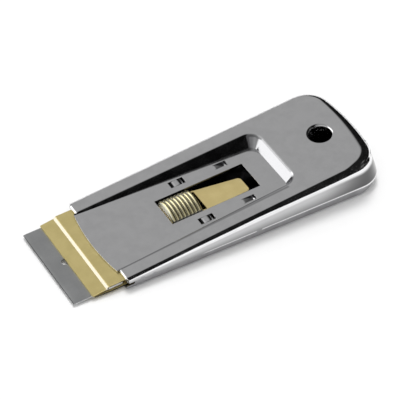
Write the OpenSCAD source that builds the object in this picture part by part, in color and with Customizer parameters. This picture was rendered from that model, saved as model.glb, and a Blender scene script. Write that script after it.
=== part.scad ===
// Retractable blade scraper for glass hobs, all of stamped metal.
// The part lies on its flat lower face, blade out, as it is used and shown.
// +X runs from the blade to the handle end, +Z points up, and Z = 0 is the table.
// The wedge-shaped body is two nested shells. A gold-coloured carrier slides
// between them and takes a single-edge blade. A ribbed thumb button on a leaf
// spring stands up through a slot in the stamped thumb recess.

/* [Body] */
// Width of the body across its sides
body_w = 44; // [43.5:0.25:46]
// Length from the blade's edge to the rear end of the body's top face, blade out
tool_l = 125; // [124:0.5:130]
// Height of the body at its mouth, from the recess floor down to the table face
front_h = 5.3; // [5.2:0.1:6]
// Slope of the body's top face, seen from the carrier's line
top_slope = 3.2; // [3:0.1:3.4]
// Slope of the body's table face, seen from the carrier's line
low_slope = 3.1; // [2.9:0.1:3.3]
// Sheet thickness of the upper shell
sheet = 0.8; // [0.7:0.05:0.85]
// Sheet thickness of the lower shell
sheet_low = 0.6; // [0.5:0.05:0.65]
// Radius of the rear corners in plan
corner_r = 10; // [9:0.5:12]
// Radius of the bowed rear end in plan
bow_r = 95; // [80:5:120]
// Outer radius of the rounded top edge
edge_r = 1.4; // [1.2:0.1:1.8]
// How far the rear wall leans outwards on its way down
rear_lean = 13; // [10:0.5:14]

/* [Thumb recess] */
// Half width of the recess mouth at the front of the body
recess_front = 16.8; // [16.6:0.1:17]
// Half width of the recess mouth at its rear end
recess_rear = 15.6; // [15.2:0.1:15.8]
// Where the recess mouth ends at the rear
recess_end = 94.6; // [94:0.2:96]
// Corner radius of the recess mouth
recess_corner = 6; // [5.5:0.1:6.5]
// Slope of the recess walls
wall_slope = 60; // [58:1:62]
// Radius of the bend from the top face into the walls
bend_r = 2; // [1.6:0.1:2.2]
// Width of the slot for the thumb button
slot_w = 13; // [12.8:0.1:13.6]
// Front end of the slot
slot_front = 46.3; // [46:0.1:46.6]
// Rear end of the slot
slot_rear = 82.6; // [82.4:0.1:84]

/* [Blade] */
// Width of the blade along its cutting edge
blade_w = 38.1; // [37:0.1:38.4]
// Depth of the blade from the edge to the back of its spine
blade_d = 19.05; // [18.6:0.05:19.2]
// Thickness of the blade
blade_t = 0.25; // [0.2:0.01:0.3]
// Thickness of the spine folded over the blade's back edge
spine_t = 1.15; // [1:0.05:1.2]
// Depth of the spine
spine_d = 5.4; // [4.6:0.1:5.5]
// Diameter of the hole in the middle of the blade
blade_hole_d = 3.2; // [3:0.1:3.6]

/* [Carrier] */
// Width of the carrier plates
carrier_w = 39.1; // [38.8:0.1:39.6]
// Sheet thickness of the carrier
carrier_t = 0.55; // [0.5:0.01:0.6]
// Front edge of the carrier's upper plate
lip_x = 7.1; // [6.8:0.1:7.4]
// Front end of the step that runs across the upper plate
step_x = 12.3; // [12:0.1:12.5]
// How far the carrier slides back into the body
travel = 23; // [20:0.5:23.2]
// Running clearance between the carrier and the recess floor
run_gap = 0.1; // [0.08:0.01:0.14]

/* [Thumb button] */
// Width of the thumb button
button_w = 11.3; // [11:0.1:11.5]
// Length of the thumb button
button_l = 11.8; // [11.4:0.1:12]
// Height of the button's crown above the recess floor
button_h = 2.2; // [1.8:0.1:2.6]
// Number of cross ribs on the button
rib_count = 8; // [7:1:9]
// Height of the ribs
rib_h = 0.5; // [0.4:0.05:0.6]
// How far the leaf swings when the button is pressed
press_angle = 4; // [3:0.5:4.5]

/* [Hidden] */
$fn = 64;

// The carrier's line is the X axis here and the recess floor is Z = 0.
// The blade's cutting edge is at X = 0. The body's mouth is at mouth_x.
mouth_x = 20;
mouth_z = 0.4;
arc_x = 17.3;
arc_r = 85;
seam_z = -1.75;
seam_slope = 2.6;
half_w = body_w / 2;
fit = 0.06;

// Heights of the carrier stack below the recess floor
floor_z = -sheet;
plate_z = floor_z - run_gap;
blade_top = -2.85;
lip_z = blade_top + carrier_t;
blade_z = blade_top - blade_t;
spine_mid = blade_top - blade_t / 2;
leaf_z = plate_z - carrier_t - 0.05;
leaf_t = 0.5;
low_edge_r = 1.3;
lip_r = 1.15;
rail_x = mouth_x + 0.6;
rail_in = recess_front - 0.8;
rail_out = half_w - edge_r - 0.2;

// Features of the recess floor
window_x = 54.9;
window_y = 9.1;
window_l = 5.9;
window_w = 2.95;
lance_x = 73.1;
lance_y = 8.9;
lance_l = 5.1;
lance_w = 2.3;
lance_gap = 0.12;
lance_drop = 0.9;
notch_xs = [25.4, 30, 72.5];

// Hanging hole
hang_x = 112.2;
hang_r = 4.2;
hang_roll = 1;
hang_depth = 2.6;

// Guide
bridge_z = -4.8;
head_r = 5.2;

// Carrier, rivets and leaf
plate_end = 30;
neck_w = 16.4;
neck_end = 46;
rivet_x = 24;
rivet_y = carrier_w / 2 - 6.55;
rivet_r = 1;
back_x = lip_x + 0.8;
back_t = 0.5;
spine_back = 0.35;
spine_room = 0.1;
bevel_l = 0.9;
blade_hole_x = 7;
spine_x = blade_d - spine_d;
back_z = spine_mid - spine_t / 2 - spine_room;
leaf_x = 36;
leaf_bend = 60;
leaf_end = 80;
leaf_slope = 5;
leaf_w = 11.1;
tip_w = 7.2;
gap_w = 9.8;
gap_l = 1.9;
pin_x = 40;
pin_r = 0.9;
pin_room = 0.2 + (pin_x + 1.8 - leaf_x) * tan(press_angle);
button_x = 47.3;
button_t = 0.6;
arch_r = 8.5;
rib_r = 0.52;

// Height of the rear wall from its rounded top edge down to the seam, and how far it leans out
rear_drop = (tool_l - mouth_x) * (tan(top_slope) + tan(seam_slope)) + mouth_z - seam_z - edge_r;
rear_out = rear_drop * tan(rear_lean);
lean_in = 0.03;

// The part's frame: the table face level at Z = 0, the footprint centred on X = 0
low_shift = front_h * cos(low_slope) - mouth_x * sin(low_slope);
mid_x = (tool_l + rear_out) / 2 + 0.4685;

module seat() {
    translate([-mid_x, 0, low_shift])
        rotate([0, -low_slope, 0])
            children();
}

// Draws children on the body's inclined top face, with Z = 0 on that face
module on_top() {
    translate([mouth_x, 0, mouth_z])
        rotate([0, -top_slope, 0])
            translate([-mouth_x, 0, 0])
                children();
}

// Draws children on the table face, with Z = 0 on that face
module on_low() {
    translate([mouth_x, 0, -front_h])
        rotate([0, low_slope, 0])
            translate([-mouth_x, 0, 0])
                children();
}

// Everything above the seam between the shells, raised by lift
module above_seam(lift = 0) {
    translate([mouth_x, 0, seam_z + lift])
        rotate([0, seam_slope, 0])
            translate([-60, -60, 0])
                cube([240, 120, 60]);
}

// A cross-section from the middle out to edge, h deep, rounded at its top edge
module half_section(edge, h, r) {
    difference() {
        translate([0, -h])
            square([edge, h]);
        difference() {
            translate([edge - r, -r])
                square([r + 1, r + 1]);
            translate([edge - r, -r])
                circle(r = r);
        }
    }
}

// A plate with a bowed rear end and round rear corners, rounded along its top edge.
// inset shrinks it all round, h is its depth below Z = 0.
module slab(front, inset, h, r, rear = tool_l) {
    w = half_w - inset;
    rc = corner_r - inset;
    rb = bow_r - inset;
    yc = w - rc;
    cx = rear - bow_r;
    swing = asin(yc / (rb - rc));
    xc = cx + (rb - rc) * cos(swing);
    translate([front, 0, 0])
        rotate([90, 0, 90])
            linear_extrude(xc - front)
                for (s = [0, 1])
                    mirror([s, 0])
                        half_section(w, h, r);
    for (s = [-1, 1])
        translate([xc, s * yc, 0])
            rotate_extrude()
                half_section(rc, h, r);
    intersection() {
        translate([cx, 0, 0])
            rotate_extrude($fn = 200)
                half_section(rb, h, r);
        translate([xc - 2, -yc, -h - 1])
            cube([20, 2 * yc, h + 2]);
    }
}

// The same plan as slab, drawn h deep below its rounded edge with the rear wall leaning out
module leaning_slab(front, inset, h, r) {
    w = half_w - inset - lean_in;
    rc = corner_r - inset;
    rb = bow_r - inset;
    yc = w - rc;
    swing = asin(yc / (rb - rc));
    end = tool_l - inset - lean_in;
    xc = rb - (rb - rc) * cos(swing);
    intersection() {
        translate([end, 0, -r])
            rotate([0, -rear_lean, 0])
                translate([0, 0, -h - 20]) {
                    translate([front - end - 30, -w, 0])
                        cube([end - front + 30 - xc, 2 * w, h + 80]);
                    for (s = [-1, 1])
                        translate([-xc, s * yc, 0])
                            cylinder(r = rc, h = h + 80);
                    intersection() {
                        translate([-rb, 0, 0])
                            cylinder(r = rb, h = h + 80, $fn = 200);
                        translate([-xc - 2, -yc, -1])
                            cube([20, 2 * yc, h + 82]);
                    }
                }
        translate([front, -40, -h])
            cube([200, 80, h - r]);
    }
}

// The upper shell's whole outline: slab down to its rounded edge, leaning_slab below that
module skirted_slab(front, inset, h, r) {
    slab(front, inset, r, r);
    leaning_slab(front, inset, h, r);
}

// Cross-section of the recess wall, from recess_corner inside its mouth outwards.
// g moves the whole wall outwards, to draw the underside of the sheet.
module wall_section(g) {
    r = bend_r - g;
    tx = recess_corner - r * sin(wall_slope);
    tz = -bend_r + r * cos(wall_slope);
    deep = 7;
    bx = tx - (deep + tz) / tan(wall_slope);
    difference() {
        polygon([[-1, -deep], [bx, -deep], [tx, tz], [recess_corner, tz],
            [recess_corner, 3], [-1, 3]]);
        translate([recess_corner, -bend_r])
            circle(r = r);
    }
}

// The space of the thumb recess, grown by g to the underside of its sheet
module recess(g) {
    taper = atan((recess_front - recess_rear) / (recess_end - mouth_x));
    rear_x = recess_end - recess_corner;
    rear_y = recess_rear - recess_corner;
    front_y = rear_y + tan(taper) * (rear_x - 5);
    side_l = (rear_x - 5) / cos(taper);
    intersection() {
        on_top()
            union() {
                translate([0, 0, -7])
                    linear_extrude(10)
                        polygon([[5, -front_y], [rear_x, -rear_y], [rear_x, rear_y], [5, front_y]]);
                for (s = [0, 1])
                    mirror([0, s, 0])
                        translate([rear_x, rear_y, 0])
                            rotate([0, 0, -taper]) {
                                rotate([90, 0, -90])
                                    linear_extrude(side_l)
                                        mirror([1, 0])
                                            wall_section(g);
                                rotate_extrude()
                                    intersection() {
                                        wall_section(g);
                                        translate([0, -10])
                                            square(20);
                                    }
                            }
                translate([rear_x, rear_y, 0])
                    rotate([90, 0, 0])
                        linear_extrude(2 * rear_y)
                            wall_section(g);
            }
        translate([-60, -60, -g])
            cube([240, 120, 60]);
    }
}

// Copies children to both sides of the carrier's line
module both_sides() {
    for (s = [0, 1])
        mirror([0, s, 0])
            children();
}

// The rolled-in lip of the hanging hole, for a sheet t thick with its face at Z = 0
module rolled_lip(t) {
    rotate_extrude() {
        intersection() {
            translate([hang_r + hang_roll, -hang_roll])
                difference() {
                    circle(r = hang_roll);
                    circle(r = hang_roll - t);
                }
            translate([hang_r - 1, -hang_roll])
                square([hang_roll + 1, hang_roll + 1]);
        }
        translate([hang_r, -hang_depth])
            square([t, hang_depth - hang_roll]);
    }
}

// The rounded opening beside the mouth, in the side walls of both shells
module mouth_notch() {
    r = 0.7;
    low = -3.4;
    high = -1.5;
    both_sides()
        translate([0, 24.8, 0])
            rotate([90, 0, 0])
                linear_extrude(5) {
                    translate([15, low])
                        square([22.8 - r - 15, high - low]);
                    translate([22, low + r])
                        square([0.8, high - low - 2 * r]);
                    for (z = [low + r, high - r])
                        translate([22.8 - r, z])
                            circle(r = r);
                }
}

module top_shell() {
    color("silver")
        seat() {
            difference() {
                intersection() {
                    on_top()
                        skirted_slab(arc_x - 6, 0, 30, edge_r);
                    above_seam();
                    translate([arc_x + arc_r, 0, -40]) {
                        cylinder(r = arc_r, h = 80, $fn = 200);
                        translate([0, -60, 0])
                            cube([120, 120, 80]);
                    }
                }
                recess(0);
                difference() {
                    on_top()
                        translate([0, 0, -sheet])
                            skirted_slab(0, sheet, 32, edge_r - sheet);
                    recess(sheet);
                }
                // thumb slot
                translate([slot_front, -slot_w / 2, -5])
                    cube([slot_rear - slot_front, slot_w, 10]);
                // windows for the guide's tabs, and for the pressed-down lances
                both_sides() {
                    translate([window_x, window_y, -5])
                        cube([window_l, window_w, 10]);
                    translate([lance_x, lance_y, -5])
                        cube([lance_l, lance_w, 10]);
                    // the rails start behind their rolled front lips
                    on_top()
                        translate([10, rail_in, -3])
                            cube([rail_x - 10, rail_out - rail_in, 8]);
                    // the skirt starts here
                    translate([10, 19, -12])
                        cube([mouth_x - 0.4 - 10, 5, 20]);
                    // notches along the skirt's lower edge
                    for (x = notch_xs)
                        translate([x, half_w - sheet - 0.3, seam_z - (x - mouth_x) * tan(seam_slope)])
                            rotate([-90, 0, 0])
                                cylinder(r = 1.1, h = 3);
                }
                mouth_notch();
                // hanging hole
                on_top()
                    translate([hang_x, 0, -6])
                        cylinder(r = hang_r + hang_roll, h = 9);
            }
            on_top()
                translate([hang_x, 0, 0])
                    rolled_lip(sheet);
            // rolled front lips of the two rails
            both_sides()
                on_top()
                    translate([rail_x, rail_out, -lip_r])
                        rotate([90, 0, 0])
                            linear_extrude(rail_out - rail_in)
                                intersection() {
                                    difference() {
                                        circle(r = lip_r);
                                        circle(r = lip_r - sheet);
                                    }
                                    translate([-lip_r, 0])
                                        square(lip_r);
                                }
            // lances pressed down out of the recess floor
            both_sides()
                translate([lance_x, lance_y + lance_gap, 0])
                    rotate([-90, 0, 0])
                        linear_extrude(lance_w - 2 * lance_gap)
                            mirror([0, 1])
                                polygon([[-0.2, 0], [-0.2, -sheet], [lance_l - 0.3, -sheet - lance_drop],
                                    [lance_l - 0.3, -lance_drop], [0.6, 0]]);
        }
}

module bottom_shell() {
    rear = tool_l + rear_out - tan(rear_lean) - 0.45;
    color("darkgray")
        seat() {
            difference() {
                intersection() {
                    on_low()
                        mirror([0, 0, 1])
                            slab(mouth_x - 0.4, sheet + fit, 30, low_edge_r, rear);
                    below_wall_top();
                }
                on_low()
                    translate([0, 0, sheet_low])
                        mirror([0, 0, 1])
                            slab(0, sheet + fit + sheet_low, 30, low_edge_r - sheet_low, rear);
                mouth_notch();
                on_low()
                    translate([hang_x, 0, -3])
                        cylinder(r = hang_r + hang_roll, h = 9);
            }
            on_low()
                translate([hang_x, 0, 0])
                    mirror([0, 0, 1])
                        rolled_lip(sheet_low);
        }
}

// Everything below the top of the lower shell's walls, 1 mm inside the upper shell's skirt
module below_wall_top() {
    translate([mouth_x, 0, seam_z + 1])
        rotate([0, seam_slope, 0])
            translate([-60, -60, -60])
                cube([240, 120, 60]);
}

// A bridge staked into the recess floor. It carries the carrier's neck and leaf.
module guide_bridge() {
    x0 = window_x + 0.65;
    l = window_l - 1.3;
    ya = window_y + 0.1;
    w = window_w - 0.2;
    color("gainsboro")
        seat() {
            translate([x0, -(ya + w), bridge_z - 0.6])
                cube([l, 2 * (ya + w), 0.6]);
            both_sides() {
                translate([x0, ya + 0.4, bridge_z - 0.3])
                    cube([l, w - 0.8, floor_z - bridge_z - 0.3]);
                translate([x0 - 0.2, ya - 0.5, floor_z - 0.7])
                    cube([l + 0.4, w + 1, 0.7]);
                // domed head of the staked tab, flush in its window
                translate([x0 + l / 2, ya, 0.1 - head_r])
                    rotate([-90, 0, 0])
                        intersection() {
                            cylinder(r = head_r, h = w, $fn = 96);
                            translate([-l / 2, -head_r - 1, 0])
                                cube([l, head_r + 1 - head_r + 1.3, w]);
                        }
            }
        }
}

module carrier_plate() {
    t = carrier_t;
    rise = lip_z + 0.6;
    color("darkkhaki")
        seat()
            difference() {
                union() {
                    translate([0, carrier_w / 2, 0])
                        rotate([90, 0, 0])
                            linear_extrude(carrier_w)
                                polygon([[lip_x, lip_z], [step_x, rise], [step_x + 1.1, plate_z],
                                    [plate_end, plate_z], [plate_end, plate_z - t],
                                    [step_x + 1.3, plate_z - t], [step_x + 0.2, rise - t],
                                    [lip_x, lip_z - t]]);
                    translate([plate_end - 1, -neck_w / 2, plate_z - t])
                        cube([neck_end - plate_end + 1, neck_w, t]);
                }
                // rear corners of the plate
                both_sides()
                    translate([plate_end, carrier_w / 2, plate_z - 2])
                        rotate([0, 0, 45])
                            cube([3, 3, 6], center = true);
                both_sides()
                    translate([rivet_x, rivet_y, plate_z - 2])
                        cylinder(r = rivet_r, h = 4);
                translate([pin_x, 0, plate_z - 2])
                    cylinder(r = pin_r, h = 4);
            }
}

module backing_plate() {
    color("darkkhaki")
        seat()
            difference() {
                translate([0, carrier_w / 2, 0])
                    rotate([90, 0, 0])
                        linear_extrude(carrier_w)
                            polygon([[back_x, blade_z], [spine_x, back_z], [plate_end - 2, back_z],
                                [plate_end - 2, back_z - back_t], [spine_x, back_z - back_t],
                                [back_x, blade_z - back_t]]);
                both_sides()
                    translate([rivet_x, rivet_y, back_z - 2])
                        cylinder(r = rivet_r, h = 4);
            }
}

// A flush rivet with a collar that spaces the two carrier plates
module carrier_rivet() {
    top = plate_z - carrier_t;
    translate([rivet_x, rivet_y, back_z - back_t])
        cylinder(r = rivet_r, h = plate_z - back_z + back_t);
    translate([rivet_x, rivet_y, back_z])
        cylinder(r = rivet_r + 0.7, h = top - back_z);
}

module carrier_rivet_left() {
    color("goldenrod")
        seat()
            carrier_rivet();
}

module carrier_rivet_right() {
    color("goldenrod")
        seat()
            mirror([0, 1, 0])
                carrier_rivet();
}

module blade() {
    color("dimgray")
        seat()
            difference() {
                translate([0, blade_w / 2, 0])
                    rotate([90, 0, 0])
                        linear_extrude(blade_w)
                            polygon([[0, blade_z + blade_t / 2], [bevel_l, blade_top],
                                [blade_d - spine_back, blade_top], [blade_d - spine_back, blade_z],
                                [bevel_l, blade_z]]);
                translate([blade_hole_x, 0, blade_z - 1])
                    cylinder(r = blade_hole_d / 2, h = 3);
            }
}

// The channel folded over the blade's back edge
module blade_spine() {
    color("gray")
        seat()
            difference() {
                translate([blade_d - spine_d, -blade_w / 2, spine_mid - spine_t / 2])
                    cube([spine_d, blade_w, spine_t]);
                translate([blade_d - spine_d - 1, -blade_w, blade_z])
                    cube([spine_d + 1 - spine_back, 2 * blade_w, blade_t]);
            }
}

// Headed pin that hangs the leaf under the carrier's neck, with room to swing
module leaf_rivet() {
    low = leaf_z - leaf_t - pin_room;
    color("goldenrod")
        seat() {
            translate([pin_x, 0, low - 0.5])
                cylinder(r = pin_r, h = plate_z - low + 0.5);
            translate([pin_x, 0, low - 0.5])
                cylinder(r = pin_r + 0.9, h = 0.5);
        }
}

module spring_leaf() {
    w = button_w / 2 - button_t - 0.1;
    x1 = button_x + button_l + 0.1;
    drop = tan(leaf_slope) * (leaf_end - leaf_bend);
    color("darkkhaki")
        seat()
            difference() {
                intersection() {
                    translate([0, 20, 0])
                        rotate([90, 0, 0])
                            linear_extrude(40)
                                polygon([[leaf_x, leaf_z], [leaf_bend, leaf_z],
                                    [leaf_end, leaf_z - drop], [leaf_end, leaf_z - drop - leaf_t],
                                    [leaf_bend, leaf_z - leaf_t], [leaf_x, leaf_z - leaf_t]]);
                    translate([0, 0, -20])
                        linear_extrude(30)
                            polygon([[leaf_x, -w], [x1, -w], [x1, -leaf_w / 2],
                                [leaf_end - 0.8, -tip_w / 2 - 0.08], [leaf_end, -tip_w / 2 + 0.8],
                                [leaf_end, tip_w / 2 - 0.8], [leaf_end - 0.8, tip_w / 2 + 0.08],
                                [x1, leaf_w / 2], [x1, w], [leaf_x, w]]);
                }
                // opening right behind the button
                translate([x1 + 0.25, -gap_w / 2, leaf_z - 5])
                    cube([gap_l, gap_w, 10]);
                translate([pin_x, 0, leaf_z - 2])
                    cylinder(r = pin_r + 0.3, h = 4);
            }
}

// The block that bounds the button, w wide, from x0 to x1 and from low upwards
module button_block(x0, x1, w, low) {
    translate([x0, -w / 2, low])
        cube([x1 - x0, w, 10]);
}

// The button's ribbed arch is turned about an axis under it, then cut by its block
module thumb_button() {
    pitch = button_l / rib_count;
    x1 = button_x + button_l;
    base_r = arch_r - rib_h;
    color("palegoldenrod")
        seat() {
            difference() {
                intersection() {
                    translate([button_x, 0, button_h - arch_r])
                        rotate([0, 90, 0])
                            rotate_extrude($fn = 96) {
                                square([base_r, button_l]);
                                for (i = [0 : rib_count - 1])
                                    translate([arch_r - rib_r, (i + 0.5) * pitch])
                                        circle(r = rib_r, $fn = 20);
                            }
                    button_block(button_x - 1, x1 + 1, button_w, leaf_z);
                }
                intersection() {
                    translate([button_x - 1, 0, button_h - arch_r])
                        rotate([0, 90, 0])
                            cylinder(r = base_r - button_t, h = button_l + 2, $fn = 96);
                    button_block(button_x + button_t, x1 - button_t, button_w - 2 * button_t, leaf_z - 1);
                }
            }
            // feet folded under the leaf's edges
            both_sides()
                for (x = [button_x + 1.5, x1 - 4.5])
                    translate([x, button_w / 2 - button_t, leaf_z - leaf_t - 0.55]) {
                        cube([3, button_t, leaf_t + 0.6]);
                        translate([0, -1.6, 0])
                            cube([3, 1.7, 0.5]);
                    }
        }
}

top_shell();
bottom_shell();
guide_bridge();
carrier_plate();
backing_plate();
carrier_rivet_left();
carrier_rivet_right();
blade();
blade_spine();
leaf_rivet();
spring_leaf();
thumb_button();
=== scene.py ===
# %% [markdown]
# # A retracting hob scraper in stamped, plated sheet
#
# The scraper is two nested, bright-plated shells with a gold-coloured carrier
# between them. The carrier holds a single-edge blade and slides back when the
# thumb presses the ribbed button. The solids come from the imported model, in
# metres, lying on their lower face with the blade towards -X. This lesson
# dresses them: a camera, a studio, finishes, pressed detail and the button.

# %% Load the frame
import math

import bmesh
import bpy
from mathutils import Matrix, Vector


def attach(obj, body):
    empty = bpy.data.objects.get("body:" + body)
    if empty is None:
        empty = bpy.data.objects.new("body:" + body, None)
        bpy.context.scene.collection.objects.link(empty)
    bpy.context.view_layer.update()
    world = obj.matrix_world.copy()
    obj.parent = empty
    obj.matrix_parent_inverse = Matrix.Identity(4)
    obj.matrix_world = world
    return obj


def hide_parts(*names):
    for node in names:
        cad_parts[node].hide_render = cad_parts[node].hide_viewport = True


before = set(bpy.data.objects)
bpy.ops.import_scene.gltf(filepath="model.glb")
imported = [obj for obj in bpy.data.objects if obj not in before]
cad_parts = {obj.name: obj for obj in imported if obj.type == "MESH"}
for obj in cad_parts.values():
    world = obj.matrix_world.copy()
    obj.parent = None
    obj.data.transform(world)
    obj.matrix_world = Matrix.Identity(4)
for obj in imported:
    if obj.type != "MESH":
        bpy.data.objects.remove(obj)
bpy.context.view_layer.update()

MM = 0.001

# %% [markdown]
# ## The camera
#
# The picture looks down on the tool from the blade's corner with a long lens.
# The lens, place and roll were solved once from matched corners of the object,
# so they are plain numbers here. A long lens far away keeps the near and far
# sides almost parallel, as in a catalogue picture. A Track To constraint would
# keep the camera level, and this one is rolled a little, so its three axes are
# worked out and written as a matrix.

# %% Camera
EYE = Vector((-277.310, -439.941, 505.907)) * MM
AIM = Vector((-3.067, -0.0504, 6.0)) * MM
LENS = 181.868
ROLL = math.radians(1.8727)

ahead = (AIM - EYE).normalized()
level = ahead.cross(Vector((0, 0, 1))).normalized()
upright = level.cross(ahead)
right = level * math.cos(ROLL) + upright * math.sin(ROLL)
top = upright * math.cos(ROLL) - level * math.sin(ROLL)

cam_data = bpy.data.cameras.new("camera")
cam_data.sensor_width = 36
cam_data.lens = LENS
cam_data.clip_start = 0.01
cam_data.clip_end = 20
camera = bpy.data.objects.new("camera", cam_data)
turn = Matrix((right, top, -ahead)).transposed().to_4x4()
camera.matrix_world = Matrix.Translation(EYE) @ turn
bpy.context.scene.collection.objects.link(camera)
bpy.context.scene.camera = camera
print("camera is", round((AIM - EYE).length, 3), "m away")

# %% [markdown]
# ## Small helpers for node trees
#
# Finishes, the studio and the button are all node trees. Clicking nodes
# together works for one tree, but a script that repeats itself needs helpers.
# The first adds a node, sets its switches, and either sets or links each
# input. The others are sums that come back all the time, so that every tree
# below reads as a list of steps.

# %% Node helpers
def node(tree, kind, inputs=None, **settings):
    """Adds one node. inputs maps a socket's name or number to a value or to another socket."""
    made = tree.nodes.new(kind)
    for key, value in settings.items():
        setattr(made, key, value)
    for key, value in (inputs or {}).items():
        if isinstance(value, bpy.types.NodeSocket):
            tree.links.new(value, made.inputs[key])
        else:
            made.inputs[key].default_value = value
    return made


def ease(tree, value, low, high, to_low=0.0, to_high=1.0):
    """Maps value from low..high to to_low..to_high, with soft ends."""
    return node(tree, "ShaderNodeMapRange", {0: value, 1: low, 2: high, 3: to_low, 4: to_high},
                interpolation_type="SMOOTHSTEP").outputs[0]


def maths(tree, how, a, b=0.0, c=0.0):
    """One sum on one or more values."""
    return node(tree, "ShaderNodeMath", {0: a, 1: b, 2: c}, operation=how).outputs[0]


def times(tree, *factors):
    """The product of all factors."""
    product = factors[0]
    for factor in factors[1:]:
        product = maths(tree, "MULTIPLY", product, factor)
    return product


def split(tree, vector):
    """The X, Y and Z of a vector."""
    return node(tree, "ShaderNodeSeparateXYZ", {0: vector}).outputs


def vector_of(tree, x=0.0, y=0.0, z=0.0):
    """A vector made of three parts."""
    return node(tree, "ShaderNodeCombineXYZ", {0: x, 1: y, 2: z}).outputs[0]


print("helpers:", ", ".join(f.__name__ for f in (node, ease, maths, times, split, vector_of)))

# %% [markdown]
# ## The studio
#
# Bright plating has hardly a colour of its own: it shows the room. The room in
# the picture is a white table, a large soft light low on the left, a grey
# ceiling, a black card on the camera's side and darkness far to the right.
# Real cards and soft boxes could be built as planes, but each new view would
# show them. Here the room is painted into the world by direction, so nothing
# stands in the way and it stays put when the view changes.

# %% Lights and cards by direction
world = bpy.data.worlds.new("studio")
bpy.context.scene.world = world
world.use_nodes = True
sky = world.node_tree
sky.nodes.clear()
towards = split(sky, node(sky, "ShaderNodeTexCoord").outputs["Generated"])

left_light = times(sky, ease(sky, towards["X"], -0.16, -0.48),
                   ease(sky, towards["Z"], 0.60, 0.46, 0.10, 1.0),
                   ease(sky, towards["Y"], 0.05, 0.35, 0.25, 1.0))
across = maths(sky, "SUBTRACT", towards["X"], towards["Y"])
grey_corner = times(sky, ease(sky, towards["X"], 0.50, 0.62),
                    ease(sky, towards["Y"], -0.25, -0.45, 0.0, 0.8))
card = times(sky, ease(sky, across, -0.26, 0.09), ease(sky, towards["X"], 0.00, 0.10),
             maths(sky, "SUBTRACT", 1.0, grey_corner))
far_right = times(sky, ease(sky, towards["X"], 0.44, 0.60), ease(sky, towards["Z"], 0.66, 0.50))
behind = ease(sky, towards["Y"], 0.34, 0.02, 1.0, 0.7)
print("directions painted with", len(sky.nodes), "nodes")

# %% [markdown]
# The painted room is for mirror images only. The eye sees plain white around
# the table, and matt surfaces get an even fill, so that the gold keeps its
# colour whichever way it faces. Light Path tells the three kinds of ray apart.

# %% What each ray sees
CEILING = 0.345
LEFT_POWER = 1.5
DARKEST = 0.006
FILL = 0.60
WHITE = (1, 1, 1, 1)

room = times(sky, maths(sky, "MULTIPLY_ADD", left_light, LEFT_POWER, CEILING), behind)
uncovered = maths(sky, "SUBTRACT", 1.0, maths(sky, "MAXIMUM", card, far_right))
lit = maths(sky, "MULTIPLY_ADD", room, uncovered, DARKEST)
rays = node(sky, "ShaderNodeLightPath").outputs
mirrored, fill, backdrop = (node(sky, "ShaderNodeBackground", {0: WHITE, 1: strength}).outputs[0]
                            for strength in (lit, FILL, 1.0))
lighting = node(sky, "ShaderNodeMixShader", {0: rays["Is Glossy Ray"], 1: fill, 2: mirrored}).outputs[0]
seen = node(sky, "ShaderNodeMixShader", {0: rays["Is Camera Ray"], 1: lighting, 2: backdrop}).outputs[0]
node(sky, "ShaderNodeOutputWorld", {0: seen})
print("world nodes:", len(sky.nodes))

# %% [markdown]
# Two soft lamps cast the shadow: a key from behind, a little to the right, and
# a wide, weaker one overhead. Their size sets how soft the shadow's edge is.
# They are kept out of the mirror images, where the room above already holds its
# own soft light.

# %% Lamps
def soft_lamp(name, place, size, power):
    """A round area lamp at place, in metres, turned to the middle of the table."""
    data = bpy.data.lights.new(name, "AREA")
    data.shape = "DISK"
    data.size = size
    data.energy = power
    lamp = bpy.data.objects.new(name, data)
    lamp.location = place
    lamp.rotation_euler = (-Vector(place)).to_track_quat("-Z", "Y").to_euler()
    lamp.visible_glossy = False
    bpy.context.scene.collection.objects.link(lamp)
    print("lamp", name, round(Vector(place).length, 2), "m from the tool")


soft_lamp("key", (0.12, 0.25, 1.15), 0.42, 5.0)
soft_lamp("top", (-0.10, -0.10, 1.3), 0.9, 3.0)

# %% [markdown]
# ## The table
#
# The tool lies on a plain white ground. A large disc of a matt material shows
# the soft contact shadow, which a glowing floor would wash out. It is nearly
# pure white to the eye and in mirror images, and a little darker where its
# light bounces up to the tool.

# %% Table
def plain_mesh(name, points, faces):
    """An object made of points and faces, linked to the scene."""
    mesh = bpy.data.meshes.new(name)
    mesh.from_pydata([Vector(p) for p in points], [], faces)
    mesh.update()
    piece = bpy.data.objects.new(name, mesh)
    bpy.context.scene.collection.objects.link(piece)
    return piece


TABLE_RADIUS = 1.4
CORNERS = 64
JUST_BELOW = -0.00005
turns = [i * math.tau / CORNERS for i in range(CORNERS)]
ring = [(TABLE_RADIUS * math.cos(a), TABLE_RADIUS * math.sin(a), JUST_BELOW) for a in turns]
table = plain_mesh("table", ring, [list(range(CORNERS))])

table_white = bpy.data.materials.new("table_white")
table_white.use_nodes = True
tree = table_white.node_tree
tree.nodes.clear()
shown = node(tree, "ShaderNodeBsdfDiffuse", {0: (0.99, 0.99, 0.99, 1)}).outputs[0]
bounce = node(tree, "ShaderNodeBsdfDiffuse", {0: (0.8, 0.8, 0.8, 1)}).outputs[0]
rays = node(tree, "ShaderNodeLightPath").outputs
watched = maths(tree, "MAXIMUM", rays["Is Camera Ray"], rays["Is Glossy Ray"])
watched = maths(tree, "MAXIMUM", watched, rays["Is Transmission Ray"])
mix = node(tree, "ShaderNodeMixShader", {0: watched, 1: bounce, 2: shown}).outputs[0]
node(tree, "ShaderNodeOutputMaterial", {0: mix})
table.data.materials.append(table_white)
print("table:", 2 * TABLE_RADIUS, "m across")

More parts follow.
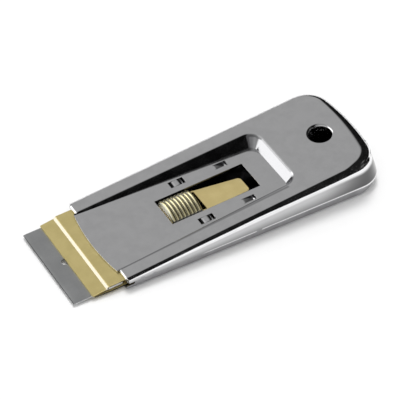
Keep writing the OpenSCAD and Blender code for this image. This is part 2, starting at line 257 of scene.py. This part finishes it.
# %% [markdown]
# ## Finishes
#
# Every finish starts from the same idea: a metal whose roughness and colour
# wander a little, with long fine scratches from use, a shallow bump, and edges
# that catch the light. Reading Object coordinates keeps a pattern at its real
# size. The Bevel node rounds the shading of sharp sheet edges, which are never
# truly sharp after stamping and plating, and costs no extra faces.

# %% Metal finish
ROUGH_SPREAD = 0.05
SCRATCHES = 260.0
RELIEF = 0.0001    # height in metres that the bump stands for


def metal(name, colour, dark_colour, rough, grain=2500, grain_depth=0.02, scratch=0.3,
          along=(1, 12, 12), edge=0.08, mottle=220, metallic=1.0):
    """A metal finish. along stretches the scratches, edge is the shaded edge radius in mm."""
    made = bpy.data.materials.new(name)
    made.use_nodes = True
    tree = made.node_tree
    tree.nodes.clear()
    where = node(tree, "ShaderNodeTexCoord").outputs["Object"]
    drawn = node(tree, "ShaderNodeMapping", {"Vector": where, "Scale": along}).outputs[0]
    cloudy, fine, lines = (
        node(tree, "ShaderNodeTexNoise", {"Vector": place, "Scale": scale, "Detail": detail,
                                          "Roughness": rest}).outputs[0]
        for place, scale, detail, rest in ((where, mottle, 6.0, 0.6), (where, grain, 3.0, 0.6),
                                           (drawn, SCRATCHES, 8.0, 0.75)))
    marks = ease(tree, lines, 0.60, 0.72)
    skin = node(tree, "ShaderNodeMix", {0: ease(tree, cloudy, 0.3, 0.7)}, data_type="RGBA")
    skin.inputs[6].default_value = dark_colour + (1,)
    skin.inputs[7].default_value = colour + (1,)
    base_rough = ease(tree, cloudy, 0.25, 0.75, rough - ROUGH_SPREAD, rough + ROUGH_SPREAD)
    full_rough = maths(tree, "MULTIPLY_ADD", marks, scratch * 0.25, base_rough)
    round_edge = node(tree, "ShaderNodeBevel", {"Radius": edge * MM}, samples=6).outputs[0]
    relief = maths(tree, "SUBTRACT", fine, times(tree, marks, scratch))
    bump = node(tree, "ShaderNodeBump", {"Strength": grain_depth, "Distance": RELIEF,
                                         "Height": relief, "Normal": round_edge}).outputs[0]
    bsdf = node(tree, "ShaderNodeBsdfPrincipled", {"Base Color": skin.outputs[2], "Roughness": full_rough,
                                                   "Metallic": metallic, "Normal": bump})
    node(tree, "ShaderNodeOutputMaterial", {0: bsdf.outputs[0]})
    print("finish", name, "has", len(tree.nodes), "nodes")
    return made

# %% [markdown]
# The shells and the guide's tabs have a bright plating, nearly white and
# smooth. The lower shell looks darker. A darker studio low down would darken
# the upper shell's walls too, so the lower one gets painted shade instead: a
# darker copy of the plating, for the shaded table that its walls mirror.

# %% Plating
BRIGHT = ((0.90, 0.90, 0.91), (0.84, 0.84, 0.85))
plating = metal("bright_plating", *BRIGHT, 0.12, scratch=0.25, edge=0.14)
# Painted shade: the lower shell's plating is a darker copy, for the shaded table that its walls mirror.
shaded_tray_plating = metal("shaded_tray_plating", (0.40, 0.40, 0.41), (0.33, 0.33, 0.34), 0.20)
tab_plating = metal("tab_plating", *BRIGHT, 0.16, edge=0.05)

# %% [markdown]
# The carrier and the leaf have a satin, gold-coloured plating. A full metal
# with that much roughness would take its tone from the card and the light, so
# these are only partly metallic, which keeps the colour steady. The button is
# brighter and mirrors more of the room, so it is a full metal.

# %% Gold plating
SATIN_GOLD = {"colour": (0.70, 0.585, 0.26), "dark_colour": (0.64, 0.53, 0.225), "rough": 0.48,
              "grain": 4200, "grain_depth": 0.10, "scratch": 0.2, "edge": 0.03, "metallic": 0.5}
gold_satin = metal("gold_satin", **SATIN_GOLD)
# The lower plate's copy of the satin gold gets painted shade on its cut edges further on.
gold_under_shaded = metal("gold_under_shaded", **SATIN_GOLD)
leaf_satin = metal("leaf_satin", (0.78, 0.64, 0.30), (0.71, 0.575, 0.255), 0.45, grain=3800,
                   grain_depth=0.08, scratch=0.2, edge=0.03, metallic=0.4)
gold_bright = metal("gold_bright", (0.90, 0.83, 0.53), (0.83, 0.75, 0.43), 0.22, scratch=0.15,
                    edge=0.02)

# %% [markdown]
# The blade is dull steel. Its scratches run along the cutting edge, which lies
# across the tool, so the pattern is stretched along Y here and not along X.

# %% Blade steel
blade_steel = metal("blade_steel", (0.74, 0.75, 0.755), (0.60, 0.61, 0.615), 0.34, grain=5200,
                    grain_depth=0.06, along=(14, 1, 14), scratch=0.5, edge=0.01, mottle=90)

# %% [markdown]
# ## Finishes that change from place to place
#
# A separate material on some faces would end in a hard line. A mask worked out
# from the place or the direction of the surface blends instead. These helpers
# make masks from boxes in millimetres and from the surface's own normal, and
# lay a colour and a roughness over a finish where the mask is 1.

# %% Masks
def object_place(tree):
    """The object coordinates X, Y and Z of the shaded point."""
    return split(tree, node(tree, "ShaderNodeTexCoord").outputs["Object"])


def normal_part(tree, axis):
    """How far the surface's normal points along one axis."""
    return split(tree, node(tree, "ShaderNodeNewGeometry").outputs["Normal"])[axis]


def zone(tree, ranges, soft=0.1):
    """1 inside a box of object coordinates given in mm as {axis: (low, high)}, softened at its sides."""
    place = object_place(tree)
    sides = []
    for axis, (low, high) in ranges.items():
        sides.append(ease(tree, place[axis], (low - soft) * MM, (low + soft) * MM))
        sides.append(ease(tree, place[axis], (high + soft) * MM, (high - soft) * MM))
    return times(tree, *sides)


def facing(tree, axis, low, high):
    """1 where the normal points along axis, either way, by high or more, and 0 below low."""
    return ease(tree, maths(tree, "ABSOLUTE", normal_part(tree, axis)), low, high)


def recolour(material, mask, colour, rough=None):
    """Lays colour, and a roughness if one is given, over a finish where mask is 1."""
    tree = material.node_tree
    bsdf = [n for n in tree.nodes if n.type == "BSDF_PRINCIPLED"][0]
    base = bsdf.inputs["Base Color"]
    over = node(tree, "ShaderNodeMix", {0: mask, 6: base.links[0].from_socket}, data_type="RGBA")
    over.inputs[7].default_value = colour + (1,)
    tree.links.new(over.outputs[2], base)
    if rough is not None:
        dull = bsdf.inputs["Roughness"]
        over = node(tree, "ShaderNodeMix", {0: mask, 2: dull.links[0].from_socket, 3: rough},
                    data_type="FLOAT")
        tree.links.new(over.outputs[0], dull)


print("helpers:", ", ".join(f.__name__ for f in (object_place, normal_part, zone, facing, recolour)))

# %% [markdown]
# The step across the gold plate gets a painted highlight, almost white. The
# lower plate's cut edges lie in the blade's shade and get painted shade, nearly
# black, and the blade's ground edge gets painted shade, darker than its flats.

# %% Painted highlight on the step, painted shade on cut and ground edges
HIGHLIGHT_STRIPE = (-51.9, -51.05)
SHADED_GROUND_EDGE = (-66.0, -63.95)
# Painted highlight on the gold step.
recolour(gold_satin, zone(gold_satin.node_tree, {"X": HIGHLIGHT_STRIPE}, 0.08), (0.88, 0.81, 0.64), 0.30)
# Painted shade on the lower plate's cut edges.
recolour(gold_under_shaded, facing(gold_under_shaded.node_tree, "Y", 0.5, 0.7), (0.01, 0.01, 0.01), 0.6)
# Painted shade on the blade's ground edge.
recolour(blade_steel, zone(blade_steel.node_tree, {"X": SHADED_GROUND_EDGE}), (0.05, 0.05, 0.05), 0.5)
print("stripe", round(HIGHLIGHT_STRIPE[1] - HIGHLIGHT_STRIPE[0], 2), "mm wide")

# %% [markdown]
# The steep side walls of the thumb recess see little of the room, so they get
# painted shade. The outer walls need more care. Their mirror image is painted
# on: bright along the top, painted shade falling off to grey lower down and
# round the rear corner, and a painted highlight on the cut edge at the seam
# between the shells. How deep a point lies between the top face and the seam
# gives all of that, because both lines are straight.

# %% Depth on the outer walls
TOP_LINE = (0.1104, 10.584 * MM)    # rise along X, and height at X = 0
SEAM_LINE = (0.0087, 3.930 * MM)


def outer_wall(tree):
    """A mask of the shell's outer wall, the depth below the top in metres and from 0 to 1, and X."""
    place = object_place(tree)
    up_part = maths(tree, "ABSOLUTE", normal_part(tree, "Z"))
    outside = maths(tree, "SUBTRACT", 1.0, zone(tree, {"X": (-70.0, 57.0), "Y": (-19.5, 19.5)}, 0.2))
    upright = times(tree, ease(tree, up_part, 0.75, 0.45), outside)
    top_z, seam_z = (maths(tree, "MULTIPLY_ADD", place["X"], rise, height)
                     for rise, height in (TOP_LINE, SEAM_LINE))
    below = maths(tree, "SUBTRACT", top_z, place["Z"])
    depth = maths(tree, "DIVIDE", below, maths(tree, "SUBTRACT", top_z, seam_z))
    return upright, below, depth, place["X"]


print("wall height at X = 0:", round((TOP_LINE[1] - SEAM_LINE[1]) / MM, 2), "mm")

# %% [markdown]
# Each painted tone, shade or highlight, is laid over the last one, from one
# depth to another and, where it belongs only to a stretch of the wall, from one X
# to another.

# %% Painted shade and highlights on the plating
WHOLE_LENGTH = (-90, -80)
# Painted shade on the outer walls; the last row is a painted highlight on the seam's cut edge.
WALL_SHADE_AND_HIGHLIGHT = (
    # depth where it starts and is full, X where it starts and is full, tone
    ((0.27, 0.42), WHOLE_LENGTH, 0.56),    # under the bright band
    ((0.42, 1.05), WHOLE_LENGTH, 0.27),    # fading towards the seam
    ((0.30, 0.45), (30, 56), 0.10),        # round the rear corner
    ((0.93, 0.96), (-16, -12), 0.85),      # cut edge at the seam
)
tree = plating.node_tree
# Painted shade on the recess's steep side walls.
recess_side_shade = times(tree, facing(tree, "Y", 0.15, 0.5),
                     zone(tree, {"X": (-47.0, 31.0), "Y": (-17.3, 17.3)}, 0.2))
recolour(plating, recess_side_shade, (0.30, 0.30, 0.31))
upright, below, depth, along = outer_wall(tree)
for (start, full), (start_x, full_x), tone in WALL_SHADE_AND_HIGHLIGHT:
    mask = times(tree, ease(tree, depth, start, full), ease(tree, along, start_x * MM, full_x * MM), upright)
    recolour(plating, mask, (tone, tone, tone * 1.01))
# Painted shade tones down the mirror image on the recess's rear wall.
recess_rear_shade = times(tree, facing(tree, "X", 0.5, 0.8),
                    zone(tree, {"X": (22.0, 33.0), "Y": (-17.0, 17.0)}, 0.3))
recolour(plating, recess_rear_shade, (0.50, 0.50, 0.51))
# Painted shade: a soft dark line along the fold at the recess's near edge.
fold = zone(tree, {"X": (-45.0, 24.0), "Y": (-16.1, -15.4)}, 0.5)
recolour(plating, fold, (0.42, 0.42, 0.43))
print("plating has", len(tree.nodes), "nodes")

# %% [markdown]
# The guide's tabs get painted shade below the recess floor, deep in their
# windows. On the button the grooves between the ribs get painted shade, and the
# folded sides a nearly white painted highlight. The grooves come from a value
# that the button's tree stores on the mesh, so they follow the ribs exactly.

# %% Painted shade and highlight on the tabs and button
FLOOR_LEVEL = 7.1
# Painted shade on the tabs below the recess floor.
recolour(tab_plating, zone(tab_plating.node_tree, {"Z": (0.0, FLOOR_LEVEL)}), (0.02, 0.02, 0.02), 0.6)
tree = gold_bright.node_tree
groove = node(tree, "ShaderNodeAttribute", attribute_name="groove").outputs["Fac"]
# Painted shade in the button's grooves.
recolour(gold_bright, ease(tree, groove, 0.30, 0.80), (0.22, 0.20, 0.07), 0.35)
folded = maths(tree, "MAXIMUM", facing(tree, "X", 0.75, 0.9), facing(tree, "Y", 0.75, 0.9))
# Painted highlight on the button's folded sides.
recolour(gold_bright, folded, (1.0, 0.99, 0.94), 0.65)
print("button finish has", len(tree.nodes), "nodes")

# %% [markdown]
# ## Crowned sheet
#
# Drawn sheet is never quite flat. A slight crown hardly shows in the outline,
# but it moves a mirror image a long way. Modelling it would need a very fine
# mesh, so only the normal that the finish is shaded with leans over. The
# recess's rear wall leans up to the soft light, and the tabs are domed from
# front to rear.

# %% Leaning the shading
def shading_normal(material):
    """The bump node of a finish, and the normal that it starts from."""
    bump = [n for n in material.node_tree.nodes if n.type == "BUMP"][0]
    return bump, bump.inputs["Normal"].links[0].from_socket


def lean_shading(material, push):
    """Adds a vector to the normal that a finish is shaded with."""
    tree = material.node_tree
    bump, normal = shading_normal(material)
    added = node(tree, "ShaderNodeVectorMath", {0: normal, 1: push}, operation="ADD").outputs[0]
    turned = node(tree, "ShaderNodeVectorMath", {0: added}, operation="NORMALIZE").outputs[0]
    tree.links.new(turned, bump.inputs["Normal"])


REAR_WALL = (22.0, 33.0)
REAR_LIFT = 0.35
tree = plating.node_tree
faces_front = ease(tree, normal_part(tree, "X"), -0.60, -0.85)
lift = times(tree, faces_front, zone(tree, {"X": REAR_WALL}, 0.5), REAR_LIFT)
lean_shading(plating, vector_of(tree, z=lift))
print("rear wall leans up between X =", REAR_WALL[0], "and", REAR_WALL[1], "mm")

# %% [markdown]
# The middle of the tabs is measured on the solid, so that the dome stays in
# its place if the windows move.

# %% Domed tabs
DOME = 150.0    # lean for each metre from the middle
tab_points = [v.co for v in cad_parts["guide_bridge"].data.vertices]
tab_high = max(p.z for p in tab_points)
tab_tops = [p.x for p in tab_points if p.z > tab_high - 0.4 * MM]
tab_middle = (min(tab_tops) + max(tab_tops)) / 2
tree = tab_plating.node_tree
offset = maths(tree, "SUBTRACT", object_place(tree)["X"], tab_middle)
lean_shading(tab_plating, vector_of(tree, x=times(tree, offset, DOME)))
print("tab tops run from", *(round(x / MM, 2) for x in (min(tab_tops), max(tab_tops))), "mm")

# %% [markdown]
# Drawing the shell also leaves a soft crown just inside its outer edge, wider
# round the rear, where the wall is deeper. The outline is a rectangle with
# round rear corners and a bowed end. Straightening the bow first makes the
# distance to it a simple sum. Within that distance the shading leans outwards,
# which widens the dark line that the card draws along the edge.

# %% Crown inside the outline
REAR_END, HALF_WIDTH, CORNER, BOW = 60.3, 22.0, 8.0, 190.0
SIDE_WIDTH = (1.5 * MM, 1.95 * MM)    # of the crown, in front and at the rear
SIDE_LEAN = (0.9, 0.45)               # in front and at the rear
REAR_WIDTH = 2.0 * MM                 # more width round the rear
REAR_SKEW = -0.06                     # and how it changes with Y


def crown_push(tree, normal):
    """A push outwards along the top face's edge, from the finish's present normal."""
    place = object_place(tree)
    bowed = maths(tree, "DIVIDE", times(tree, place["Y"], place["Y"]), BOW * MM)
    straight = maths(tree, "ADD", place["X"], bowed)
    past_x = maths(tree, "MAXIMUM", maths(tree, "SUBTRACT", straight, (REAR_END - CORNER) * MM), 0.0)
    beside = maths(tree, "SUBTRACT", maths(tree, "ABSOLUTE", place["Y"]), (HALF_WIDTH - CORNER) * MM)
    past_y = maths(tree, "MAXIMUM", beside, 0.0)
    reach = maths(tree, "SQRT", maths(tree, "ADD", times(tree, past_x, past_x), times(tree, past_y, past_y)))
    inside = maths(tree, "SUBTRACT", CORNER * MM, reach)

    rear_share = maths(tree, "MULTIPLY_ADD", place["Y"], REAR_SKEW, REAR_WIDTH)
    wider = times(tree, ease(tree, straight, 46 * MM, 57 * MM), rear_share)
    width = maths(tree, "ADD", ease(tree, place["X"], -30 * MM, 2 * MM, *SIDE_WIDTH), wider)
    near = ease(tree, maths(tree, "SUBTRACT", 1.0, maths(tree, "DIVIDE", inside, width)), 0.0, 0.5)

    lean = ease(tree, place["X"], -20 * MM, 2 * MM, *SIDE_LEAN)
    amount = times(tree, near, lean, maths(tree, "MAXIMUM", split(tree, normal)["Z"], 0.0))
    amount = maths(tree, "DIVIDE", amount, maths(tree, "MAXIMUM", reach, 1e-5))
    outwards = vector_of(tree, past_x, times(tree, maths(tree, "SIGN", place["Y"]), past_y))
    return node(tree, "ShaderNodeVectorMath", {0: outwards, "Scale": amount}, operation="SCALE").outputs[0]


print("crown follows an outline", 2 * HALF_WIDTH, "mm wide")

# %% [markdown]
# Under the edge the wall's upper part is still rolled, the more so towards the
# rear. There the shading leans up again, and the dark line runs further down.

# %% Roll under the edge
ROLL_FRONT, ROLL_REAR, ROLL_SOFT, ROLL_LEAN = 0.6, 2.4, 0.4, 0.9


def roll_push(tree):
    """A push upwards on the upper part of the outer wall."""
    upright, below, depth, along = outer_wall(tree)
    ends = ease(tree, along, 0.0, 46 * MM, ROLL_FRONT * MM, ROLL_REAR * MM)
    full = maths(tree, "SUBTRACT", ends, ROLL_SOFT * MM)
    rolled = times(tree, ease(tree, below, ends, full), times(tree, upright, ROLL_LEAN))
    return vector_of(tree, z=rolled)


tree = plating.node_tree
present = shading_normal(plating)[1]
push = node(tree, "ShaderNodeVectorMath", {0: crown_push(tree, present), 1: roll_push(tree)},
            operation="ADD").outputs[0]
lean_shading(plating, push)
print("plating has", len(tree.nodes), "nodes")

# %% [markdown]
# ## Dressing the solids
#
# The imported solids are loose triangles. A copy of each is merged and shaded
# smooth up to a crease angle, so rounded edges mirror the room in one sweep
# while folds stay crisp. Large flat faces would borrow a little lean from the
# bends beside them and show streaks, so a Weighted Normal modifier lets the
# large faces decide. The copy then stands for its solid.

# %% Merged copies
MERGE = 0.000002
TINY = 0.000001


def finish_piece(piece, nodes, body):
    """Hides the solids that a piece stands for, and hangs the piece on the body that it rides on."""
    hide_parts(*nodes)
    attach(piece, body)
    return piece


def skin_of(name, piece_name, body, slot, material, crease):
    """A merged, smooth-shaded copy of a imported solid, in its place. crease is in degrees."""
    mesh = bpy.data.meshes.new(piece_name)
    work = bmesh.new()
    work.from_mesh(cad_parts[name].data)
    bmesh.ops.remove_doubles(work, verts=work.verts, dist=MERGE)
    bmesh.ops.dissolve_degenerate(work, edges=work.edges, dist=TINY)
    for face in work.faces:
        face.smooth = True
        face.material_index = 0
    for edge in work.edges:
        sharp = len(edge.link_faces) != 2 or edge.calc_face_angle(0) > math.radians(crease)
        edge.smooth = not sharp
    work.to_mesh(mesh)
    work.free()
    mesh.materials.clear()
    mesh.materials.append(material)
    piece = bpy.data.objects.new(piece_name, mesh)
    bpy.context.scene.collection.objects.link(piece)
    even = piece.modifiers.new("even_shading", "WEIGHTED_NORMAL")
    even.keep_sharp = True
    even.weight = 100
    return finish_piece(piece, [name], body)


print("solids to copy from:", len(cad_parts))

# %% [markdown]
# Each row says what one solid becomes: the piece's name, the body it rides on,
# its slot, its finish and its crease angle. The shells have soft bends, so
# their angle is wide. Flat sheet keeps every fold sharp.

# %% What each solid becomes
BENDS, FOLDS, FLATS = 28, 5, 3
coats = {
    "top_shell": ("upper_shell", "housing", "plated_shell", plating, BENDS),
    "bottom_shell": ("lower_shell", "housing", "plated_tray", shaded_tray_plating, BENDS),
    "guide_bridge": ("guide_tabs", "housing", "plated_shell", tab_plating, BENDS),
    "carrier_plate": ("carrier_top", "carrier", "gold_plate", gold_satin, FOLDS),
    "backing_plate": ("carrier_bottom", "carrier", "gold_plate", gold_under_shaded, FOLDS),
    "blade": ("razor_blade", "carrier", "blade_steel", blade_steel, FLATS),
    "spring_leaf": ("leaf_strip", "press", "gold_leaf", leaf_satin, FLATS),
}
for source_name, coat in coats.items():
    piece = skin_of(source_name, *coat)
    print(piece.name, len(piece.data.vertices), "points")

# %% [markdown]
# The rivets, the leaf's pin and the blade's folded spine are simple turned and
# bent shapes inside the tool. Their solids are right as they are, so they stay
# and only get a finish.

# %% Finishes on the solids that stay
def dress(name, material):
    """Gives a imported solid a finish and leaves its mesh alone."""
    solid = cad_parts[name]
    if not solid.material_slots:
        solid.data.materials.append(material)
    for place in solid.material_slots:
        place.material = material
    print(name, "is dressed in", material.name)


for name in ("carrier_rivet_left", "carrier_rivet_right", "leaf_rivet"):
    dress(name, gold_satin)
dress("blade_spine", blade_steel)

# %% [markdown]
# ## The thumb button
#
# The real button is one strip of gold-plated sheet. Eight ribs are pressed
# across it and the strip is arched from side to side, so that the thumb grips
# it in both directions. It could be sculpted, or eight bent rods could be laid
# on a plate. A rule gives the shape more exactly: a grid whose height is an
# arch, with a wave along its length. Geometry Nodes makes the grid, the wave
# and the folded sides from named sizes, so each can be changed by itself.

# %% A tree with named sizes
def tree_with(name, sizes):
    """A Geometry Nodes tree with named inputs, and the socket of each input inside it."""
    tree = bpy.data.node_groups.new(name, "GeometryNodeTree")
    for label, (kind, value) in sizes.items():
        socket = tree.interface.new_socket(name=label, in_out="INPUT", socket_type=kind)
        if kind != "NodeSocketMaterial":
            socket.default_value = value
    tree.interface.new_socket(name="Geometry", in_out="OUTPUT", socket_type="NodeSocketGeometry")
    start = tree.nodes.new("NodeGroupInput")
    return tree, {s.name: s for s in start.outputs if s.name}


LENGTH = "NodeSocketFloat"
BUTTON_LENGTH = 11.8
ribbed, size = tree_with("ribbed_arch", {
    "Length": (LENGTH, BUTTON_LENGTH * MM), "Width": (LENGTH, 11.3 * MM), "Crown": (LENGTH, 2.2 * MM),
    "Arch radius": (LENGTH, 8.5 * MM), "Ribs": ("NodeSocketInt", 8), "Rib height": (LENGTH, 0.62 * MM),
    "Foot": (LENGTH, -1.45 * MM), "Metal": ("NodeSocketMaterial", None)})
print("button sizes:", ", ".join(size))

# %% [markdown]
# The wave is a row of half sine bumps, one for each rib, so the valleys are
# narrow and the ribs are broad and round. It lowers the arch's radius in the
# valleys. How deep each point lies in its valley is stored for the finish.

# %% Ribs on an arch
POINTS_PER_RIB = 16.0
POINTS_ACROSS = 41
BROADER = 0.8    # below 1, ribs get broader and valleys narrower


def position():
    """The X, Y and Z of each point of the button's mesh."""
    return split(ribbed, node(ribbed, "GeometryNodeInputPosition").outputs[0])


points = maths(ribbed, "MULTIPLY_ADD", size["Ribs"], POINTS_PER_RIB, 1.0)
grid = node(ribbed, "GeometryNodeMeshGrid", {"Size X": size["Length"], "Size Y": size["Width"],
                                             "Vertices X": points,
                                             "Vertices Y": POINTS_ACROSS}).outputs[0]
spot = position()
share = maths(ribbed, "ADD", maths(ribbed, "DIVIDE", spot["X"], size["Length"]), 0.5)
wave = maths(ribbed, "SINE", times(ribbed, share, size["Ribs"], math.pi))
wave = maths(ribbed, "POWER", maths(ribbed, "ABSOLUTE", wave), BROADER)
drop = times(ribbed, maths(ribbed, "SUBTRACT", wave, 1.0), size["Rib height"])
radius = maths(ribbed, "ADD", size["Arch radius"], drop)
arc = maths(ribbed, "SQRT", maths(ribbed, "SUBTRACT", times(ribbed, radius, radius),
                                  times(ribbed, spot["Y"], spot["Y"])))
height = maths(ribbed, "ADD", arc, maths(ribbed, "SUBTRACT", size["Crown"], size["Arch radius"]))
# The stored groove depth drives the painted shade in the grooves.
marked = node(ribbed, "GeometryNodeStoreNamedAttribute", {
    "Geometry": grid, "Name": "groove", "Value": maths(ribbed, "SUBTRACT", 1.0, wave)},
    data_type="FLOAT", domain="POINT").outputs[0]
arched = node(ribbed, "GeometryNodeSetPosition", {
    "Geometry": marked, "Position": vector_of(ribbed, spot["X"], spot["Y"], height)}).outputs[0]
print("ribbed arch:", len(ribbed.nodes), "nodes so far")

# %% [markdown]
# The rim of the arch is folded down in two steps: a short slanting roll, then
# a straight skirt that ends at the level of the leaf spring. An edge with only
# one face beside it is on the rim. Extrude Mesh follows the normal unless its
# offset is linked, so both steps get a vector of their own.

# %% Folded sides
ROLL_DOWN = 0.36
ROLL_AHEAD = 0.34
NEARLY_HALF = 0.4999    # of the length: only the front rim lies beyond it
one_face = node(ribbed, "GeometryNodeInputMeshEdgeNeighbors").outputs[0]
rim = node(ribbed, "FunctionNodeCompare", {2: one_face, 3: 1}, data_type="INT", operation="EQUAL").outputs[0]
front_line = times(ribbed, size["Length"], -NEARLY_HALF)
at_front = maths(ribbed, "LESS_THAN", position()["X"], front_line)
roll_step = vector_of(ribbed, times(ribbed, at_front, -ROLL_AHEAD * MM), z=-ROLL_DOWN * MM)
rolled = node(ribbed, "GeometryNodeExtrudeMesh", {
    "Mesh": arched, "Selection": rim, "Offset": roll_step, "Offset Scale": 1.0}, mode="EDGES")
skirt = node(ribbed, "GeometryNodeExtrudeMesh", {
    "Mesh": rolled.outputs["Mesh"], "Selection": rolled.outputs["Top"],
    "Offset": vector_of(ribbed, z=-1 * MM), "Offset Scale": 1.0}, mode="EDGES")
here = position()
levelled = node(ribbed, "GeometryNodeSetPosition", {
    "Geometry": skirt.outputs["Mesh"], "Selection": skirt.outputs["Top"],
    "Position": vector_of(ribbed, here["X"], here["Y"], size["Foot"])}).outputs[0]
smooth = node(ribbed, "GeometryNodeSetShadeSmooth", {"Geometry": levelled}).outputs[0]
real = node(ribbed, "GeometryNodeRealizeInstances", {0: smooth}).outputs[0]
coated = node(ribbed, "GeometryNodeSetMaterial", {"Geometry": real, "Material": size["Metal"]}).outputs[0]
node(ribbed, "NodeGroupOutput", {0: coated})
print("button tree:", len(ribbed.nodes), "nodes")

# %% [markdown]
# The tree runs on an empty mesh, and a Solidify modifier gives the strip the
# thickness of its sheet. The evaluated result is kept as a plain mesh, and the
# helper object goes, so that no live tree is left on the piece.

# %% From tree to mesh
SHEET = 0.5


def baked(name, tree, values, finish):
    """Runs a tree with its inputs set by identifier, then finish's modifiers, and returns the mesh."""
    host = plain_mesh(name, [], [])
    modifier = host.modifiers.new("tree", "NODES")
    modifier.node_group = tree
    named = {s.name: s.identifier for s in tree.interface.items_tree if s.in_out == "INPUT"}
    for label, value in values.items():
        modifier[named[label]] = value
    finish(host)
    bpy.context.view_layer.update()
    graph = bpy.context.evaluated_depsgraph_get()
    mesh = bpy.data.meshes.new_from_object(host.evaluated_get(graph))
    bpy.data.objects.remove(host)
    mesh.name = name
    return mesh


def thicken(host):
    wall = host.modifiers.new("sheet", "SOLIDIFY")
    wall.thickness = SHEET * MM
    wall.offset = -1
    wall.use_even_offset = False


button_mesh = baked("ribbed_button", ribbed, {"Metal": gold_bright}, thicken)
print("button sheet:", len(button_mesh.vertices), "points")

# %% [markdown]
# The button is drawn about its own middle. The carrier slides on a line that
# slopes against the table, so the points are turned onto that line and moved
# to the button's place on it. The same rule seats every solid of the tool.

# %% Seat the button
SLOPE = math.radians(3.1)
FLOOR_AT_MOUTH = 5.3          # height of the recess floor over the table, at the mouth
MOUTH = 20                    # from the blade's edge to the mouth, along the line
MID_X = 64.2831               # from the blade's edge to the middle of the footprint
BUTTON_FRONT = 47.3           # from the blade's edge to the button's front end
LOW_SHIFT = FLOOR_AT_MOUTH * math.cos(SLOPE) - MOUTH * math.sin(SLOPE)
BUTTON_MIDDLE = BUTTON_FRONT + BUTTON_LENGTH / 2
CREASE = 40


def seat(x, y, z):
    """From the carrier's own line, with the recess floor at 0, to the part's frame, in metres."""
    return Vector((x * math.cos(SLOPE) - z * math.sin(SLOPE) - MID_X, y,
                   x * math.sin(SLOPE) + z * math.cos(SLOPE) + LOW_SHIFT)) * MM


work = bmesh.new()
work.from_mesh(button_mesh)
bmesh.ops.remove_doubles(work, verts=work.verts, dist=MERGE)
bmesh.ops.recalc_face_normals(work, faces=work.faces)
for vert in work.verts:
    p = vert.co / MM
    vert.co = seat(BUTTON_MIDDLE + p.x, p.y, p.z)
for edge in work.edges:
    edge.smooth = len(edge.link_faces) == 2 and edge.calc_face_angle(0) < math.radians(CREASE)
work.to_mesh(button_mesh)
work.free()
button = bpy.data.objects.new("ribbed_button", button_mesh)
bpy.context.scene.collection.objects.link(button)
finish_piece(button, ["thumb_button"], "press")
print("button:", len(button_mesh.polygons), "faces")

# %% [markdown]
# ## Closing
#
# The view transform is set to Standard, so colours arrive as they were
# written.

# %% Finish
bpy.context.scene.view_settings.view_transform = "Standard"
